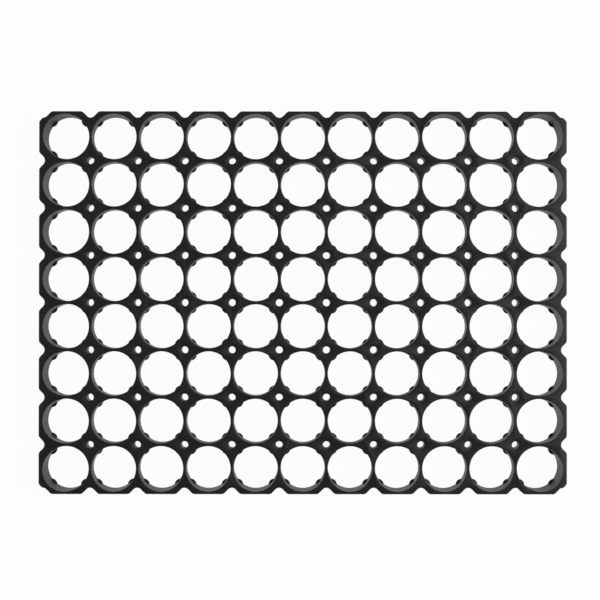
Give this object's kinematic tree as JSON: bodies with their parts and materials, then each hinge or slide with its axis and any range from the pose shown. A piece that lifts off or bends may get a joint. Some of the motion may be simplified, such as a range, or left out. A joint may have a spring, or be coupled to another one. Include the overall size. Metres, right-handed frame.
{
  "type": "battery cell holder bracket",
  "caption": "Black moulded frame with a grid of round sockets for cylindrical 18650 cells, stop lugs in each, screw holes between them and notched borders.",
  "frame": {"origin": "middle of the outline, on the underside that the lugs lie in", "axes": "+X along the rows of sockets, +Y along the columns, +Z out of the face that the cells go in by"},
  "size_m": [0.219, 0.1588, 0.008],
  "materials": {
    "moulded_plastic": "satin"
  },
  "bodies": {
    "root": {"cell_holder_frame": "moulded_plastic"}
  },
  "joints": []
}
